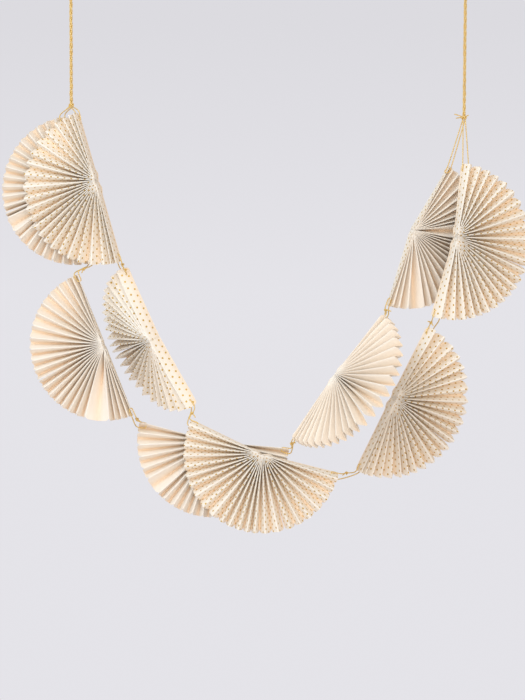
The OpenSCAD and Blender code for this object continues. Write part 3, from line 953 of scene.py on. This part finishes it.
@dataclass
class HangingCord:
    """Four threads, loosely twisted, between a hanging loop and the two top fans of one side."""

    name: str
    top: Point
    upper: Point
    lower: Point
    fans: list[tuple[str, PleatedFan, bool, float]]
    side: int
    tails: tuple[Point, ...]
    diameter: float = 3.4 * MM
    knot_size: float = 6 * MM
    loop_w: float = 11 * MM
    loop_d: float = 2.2 * MM

    def loop_points(self) -> list[Vector]:
        """Points of the hanging loop, from the upper knot round to it again."""
        shares = [(0, 1.12), (-0.62, 0.78), (-0.95, 0.5), (-1, 0.28), (-0.7, 0.07), (0, 0),
                  (0.7, 0.07), (1, 0.28), (0.95, 0.5), (0.62, 0.78), (0, 1.12)]
        top, half = Vector(self.top) * MM, (self.loop_w - self.loop_d) / 2
        drop = self.upper[2] * MM - self.top[2] * MM + self.knot_size / 2 + self.loop_d / 2
        return [top + Vector((x * half, 0, z * drop - self.loop_d / 2)) for x, z in shares]

    def build(self, maker: ThreadMaker) -> bpy.types.Object:
        """Args:
            maker: what lays the thread.

        Returns:
            The cord's own piece.
        """
        upper, lower = Vector(self.upper) * MM, Vector(self.lower) * MM
        path = [upper.lerp(lower, i / 24) for i in range(25)]
        rope = maker.lay(path, Strands=4, Spread=1.02 * MM, Looseness=0.7, Radius=0.66 * MM)
        cord = maker.piece(self.name, [rope], self.name + "_yarn")
        ends = maker.lay(self.loop_points(), Strands=2, Spread=0.52 * MM, Strand_Pitch=9 * MM,
                         Radius=0.55 * MM)
        knots = maker.knot(upper, Vector((0, 0, 1)), self.knot_size, 2, 0.75 * MM)
        knots += maker.knot(lower, Vector((0, 0, 1)), self.knot_size, 2, 0.75 * MM)
        knots += [maker.tail(lower, t) for t in self.tails]
        trims = [maker.piece(self.name, [ends] + knots, self.name + "_knots")]
        for node, fan, last, depth in self.fans:
            trims.append(self.top_thread(maker, node, fan, last, depth))
        return cord

    def top_thread(self, maker: ThreadMaker, node: str, fan: PleatedFan, last: bool, depth: float
                   ) -> bpy.types.Object:
        """Lay the thread from the lower knot through one fan's tip and back.

        Args:
            maker: what lays the thread.
            node: the thread's node.
            fan: the fan that it holds.
            last: True where it passes the fan's last tip.
            depth: 1 for a fan behind the cord and -1 for one in front.

        Returns:
            The finished piece.
        """
        lower = Vector(self.lower) * MM
        step = 1.05 * MM
        ports = [lower + Vector((s * step, depth * step, -1.5 * MM)) for s in (self.side, -self.side)]
        route = [ports[0]] + fan.tip_route(last) + [ports[1]]
        return maker.piece(node, [maker.lay(route)])


class Studio:
    """The camera, the soft lights, and the plain floor and backdrop."""

    # The backdrop's painted glow to the camera, darker at the top than low down; the low colour is also the
    # floor's.
    BACKDROP_TOP = (0.716, 0.708, 0.745)
    BACKDROP_LOW = (0.78, 0.772, 0.812)
    ROOM = ((-3, -3, -1.3), (3.4, 0.7, 1.6))

    def camera(self) -> None:
        """Set the camera at the photograph's viewing angle."""
        data = bpy.data.cameras.new("camera")
        data.sensor_fit = "HORIZONTAL"
        data.sensor_width = 36.0
        data.lens = 36.0 * CAMERA_AWAY / PHOTO_WIDTH
        data.clip_end = 50.0
        camera = bpy.data.objects.new("camera", data)
        camera.location = (PHOTO_MIDDLE[0], -CAMERA_AWAY, PHOTO_MIDDLE[1])
        camera.rotation_euler = (math.radians(90), 0, 0)
        bpy.context.scene.collection.objects.link(camera)
        bpy.context.scene.camera = camera

    def light(self, name: str, at: Point, size: float, watts: float, colour: Point) -> None:
        """Add a soft square light aimed at the garland's middle."""
        data = bpy.data.lights.new(name, "AREA")
        data.color = colour
        data.size = size
        data.energy = watts
        lamp = bpy.data.objects.new(name, data)
        lamp.location = at
        aim = Vector((PHOTO_MIDDLE[0], 0, -0.3)) - lamp.location
        lamp.rotation_euler = aim.to_track_quat("-Z", "Y").to_euler()
        bpy.context.scene.collection.objects.link(lamp)

    @staticmethod
    def seen(g: Graph) -> Socket:
        """Mark the rays that show the studio, to the camera or in metal, not those that light the card."""
        path = g.add("ShaderNodeLightPath").outputs
        return g.most(path["Is Camera Ray"], g.most(path["Is Glossy Ray"], path["Is Transmission Ray"]))

    @staticmethod
    def one_sided(g: Graph, surface: Socket) -> None:
        """Feed a surface to the material's output, clear from behind to show the garland's back."""
        clear = g.out("ShaderNodeBsdfTransparent")
        behind = g.add("ShaderNodeNewGeometry").outputs["Backfacing"]
        mix = g.out("ShaderNodeMixShader", {0: behind, 1: surface, 2: clear})
        g.feed(g.add("ShaderNodeOutputMaterial").inputs["Surface"], mix)

    def backdrop_material(self) -> bpy.types.Material:
        """Build the pale backdrop, which shows the camera a painted glow of grey, darker towards the top, and
        shows the light white card.
        """
        material = bpy.data.materials.new("backdrop")
        material.use_nodes = True
        tree = material.node_tree
        tree.nodes.clear()
        g = Graph(tree)
        place = g.add("ShaderNodeSeparateXYZ", {0: g.add("ShaderNodeTexCoord").outputs["Object"]}).outputs
        # The camera sees a painted glow, darker towards the top, in place of the lit backdrop.
        height = g.out("ShaderNodeMapRange", {"Value": place[2], "From Min": -0.3, "From Max": 0.05})
        colour = CardFinish.mixed_colour(g, self.BACKDROP_LOW, self.BACKDROP_TOP, height)
        painted_backdrop_glow = g.out("ShaderNodeEmission", {"Color": colour, "Strength": 1.0})
        lit = g.out("ShaderNodeBsdfDiffuse", {"Color": (0.8, 0.79, 0.8, 1.0)})
        seen = self.seen(g)
        self.one_sided(g, g.out("ShaderNodeMixShader", {0: seen, 1: lit, 2: painted_backdrop_glow}))
        return material

    def floor_material(self) -> bpy.types.Material:
        """Build the plain pale floor."""
        material = bpy.data.materials.new("floor")
        material.use_nodes = True
        material.node_tree.nodes.clear()
        g = Graph(material.node_tree)
        colour = (*self.BACKDROP_LOW, 1.0)
        self.one_sided(g, g.out("ShaderNodeBsdfDiffuse", {"Color": colour}))
        return material

    def panel(self, name: str, corners: list[Point], material: bpy.types.Material) -> None:
        """Add a flat panel of the studio."""
        mesh = bpy.data.meshes.new(name)
        mesh.from_pydata(corners, [], [(0, 1, 2, 3)])
        mesh.materials.append(material)
        placed(name, mesh)

    def world(self) -> None:
        """Light everything evenly, with a pale grey behind what the backdrop doesn't cover."""
        world = bpy.data.worlds.new("studio")
        world.use_nodes = True
        bpy.context.scene.world = world
        tree = world.node_tree
        tree.nodes.clear()
        g = Graph(tree)
        seen = self.seen(g)
        pale = g.out("ShaderNodeBackground", {"Color": (*self.BACKDROP_LOW, 1.0), "Strength": 1.0})
        soft = g.out("ShaderNodeBackground", {"Color": (1.0, 0.88, 0.75, 1.0), "Strength": 0.66})
        mix = g.out("ShaderNodeMixShader", {0: seen, 1: soft, 2: pale})
        g.feed(g.add("ShaderNodeOutputWorld").inputs["Surface"], mix)

    def build(self) -> None:
        """Set up the whole studio."""
        scene = bpy.context.scene
        scene.view_settings.view_transform = "Standard"
        self.camera()
        self.world()
        self.light("key", (-0.9, -1.3, 0.75), 0.9, 12.9, (0.66, 0.86, 1.0))
        self.light("front", (0.3, -2.3, -0.3), 1.6, 17.2, (1.0, 0.89, 0.76))
        (x0, y0, z0), (x1, y1, z1) = self.ROOM
        self.panel("backdrop", [(x0, y1, z0), (x1, y1, z0), (x1, y1, z1), (x0, y1, z1)],
                   self.backdrop_material())
        self.panel("floor", [(x0, y0, z0), (x1, y0, z0), (x1, y1, z0), (x0, y1, z0)], self.floor_material())


class Garland:
    """The ten fans, and every thread and cord between them."""

    def __init__(self) -> None:
        """List the fans in two chains, each from the left."""
        self.dotted = [
            PleatedFan("fan_dotted_1", (26, -12, -213), 196, 12,
                       [4, 3, 8, 10, 8, 8, 7, 7, 6, 6, 7, 7, 8, 8, 10, 10, 8, 9, 11, 11, 9, 6, 5, 4],
                       (-4, 8), 11, CardFace.DOTTED, seed=11),
            PleatedFan("fan_dotted_2", (80, 2, -363), 207, 56,
                       [12, 11, 8, 7, 8, 9, 10, 8, 7, 6, 7, 6, 5, 5, 7, 8, 7, 7, 7, 7, 8, 9, 10, 11],
                       (1, 2), 12, CardFace.DOTTED, seed=23, lobe=0.0, flat_edge=1.6),
            PleatedFan("fan_dotted_3", (183.5, -9, -473.5), 250, 0,
                       [8, 8, 9, 9, 9, 8, 8, 10, 9, 6, 6, 7, 7, 6, 10, 9, 10, 7, 7, 8, 8, 8, 7, 8],
                       (0, 1), 7, CardFace.DOTTED, seed=37),
            PleatedFan("fan_dotted_4", (310, 6, -420.5), 333.5, 21,
                       [8, 10, 10, 9, 8, 7, 11, 8, 8, 8, 7, 7, 7, 7, 8, 7, 7, 6, 6, 9, 7, 7, 4, 3],
                       (-1, -2), 12, CardFace.DOTTED, seed=41),
            PleatedFan("fan_dotted_5", (368.5, -10, -266.5), 349, 12,
                       [9, 8, 8, 8, 9, 9, 10, 10, 10, 9, 8, 8, 7, 7, 6, 7, 6, 7, 7, 5, 6, 8, 8, 11],
                       (5, -3), 12, CardFace.DOTTED, seed=59),
        ]
        self.plain = [
            PleatedFan("fan_plain_1", (2.5, 10, -216), 190, 8,
                       [6, 7, 8, 8, 8, 7, 7, 8, 7, 12, 4, 5, 8, 8, 8, 8, 8, 8, 8, 9, 9, 8, 9, 8],
                       (0, 8), 11, CardFace.PLAIN, seed=13),
            PleatedFan("fan_plain_2", (32.5, -9, -369), 201.5, 8,
                       [4, 5, 5, 5, 19, 7, 6, 7, 6, 7, 7, 7, 8, 8, 9, 9, 10, 10, 9, 9, 9, 8, 5, 5],
                       (3, 4), 12, CardFace.PLAIN, seed=29),
            PleatedFan("fan_plain_3", (139, 9, -462.5), 260, 0,
                       [7, 7, 7, 7, 7, 7, 8, 7, 8, 7, 8, 7, 8, 8, 8, 8, 8, 6, 14, 8, 9, 9, 9, 8],
                       (5, 0), 12, CardFace.PLAIN, seed=31),
            PleatedFan("fan_plain_4", (257, -2, -400), 323.5, -53,
                       [5, 8, 8, 8, 9, 9, 8, 8, 9, 9, 9, 9, 9, 6, 6, 7, 7, 7, 7, 7, 6, 5, 4, 4],
                       (2, 2), 12, CardFace.PLAIN, seed=43),
            PleatedFan("fan_plain_5", (328.5, 12, -259), 336, 18,
                       [4, 6, 8, 8, 8, 8, 6, 5, 16, 5, 5, 6, 6, 6, 7, 8, 8, 8, 7, 6, 13, 7, 5, 4],
                       (4, 0), 12, CardFace.PLAIN, seed=61),
        ]

    def ties(self) -> list[Tie]:
        """List the threads that join one fan's first tip to the next fan's last tip."""
        plain = [(0.6, ((-2, -2, -4),)), (0.6, ((4, -1, -3),)), (0.6, ((4, -3, 1), (3, -3, 2))),
                 (0.5, ((5, -3, -1), (-1, -3, -4)))]
        dotted = [(0.5, ((1, -2, -4),)), (0.5, ((3, -3, -4),)), (0.4, ((-4, -3, -2),)),
                  (0.4, ((-3, -3, 1), (2, -3, -3)))]
        found = []
        for kind, fans, knots in (("dotted", self.dotted, dotted), ("plain", self.plain, plain)):
            for i, (knot, tails) in enumerate(knots):
                found.append(Tie(f"tie_{kind}_{i + 1}", fans[i], fans[i + 1], knot, tails))
        return found

    def cords(self) -> list[HangingCord]:
        """List the two hanging cords."""
        left = HangingCord("left_hanging_cord", (0, 0, 0), (0, 0, -24), (0.5, 0, -139),
                           [("left_front_thread", self.dotted[0], True, -1.0),
                            ("left_back_thread", self.plain[0], True, 1.0)], 1, ((-5, -3, -5),))
        right = HangingCord("right_hanging_cord", (379, 0, 0), (379, 0, -24), (377.5, 0, -151),
                            [("right_front_thread", self.dotted[4], False, -1.0),
                             ("right_back_thread", self.plain[4], False, 1.0)], -1,
                            ((-9.5, -3, 3), (-8, -4, -1), (4, -3, 2)))
        return [left, right]

    def build(self) -> None:
        """Make the cords first, then the fans and the ties, and report each."""
        finishes = Finishes()
        maker = ThreadMaker(ThreadTree(), finishes.thread)
        for cord in self.cords():
            cord.build(maker)
            LOG.info("cord %s", cord.name)
        tree = PleatTree()
        for fan in self.dotted + self.plain:
            piece = fan.build(tree, finishes)
            LOG.info("fan %s, %d faces", fan.name, len(piece.data.polygons))
        for tie in self.ties():
            tie.build(maker)
            LOG.info("tie %s", tie.name)


def corners(bounds: object) -> list[list[float]]:
    """Turn a box into plain lists of numbers."""
    return [[float(v) for v in corner] for corner in bounds]


def main() -> None:
    """Build the studio and the garland."""
    logging.basicConfig(level=logging.INFO, format="%(message)s")
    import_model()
    Studio().build()
    Garland().build()


if __name__ == "__main__":
    main()
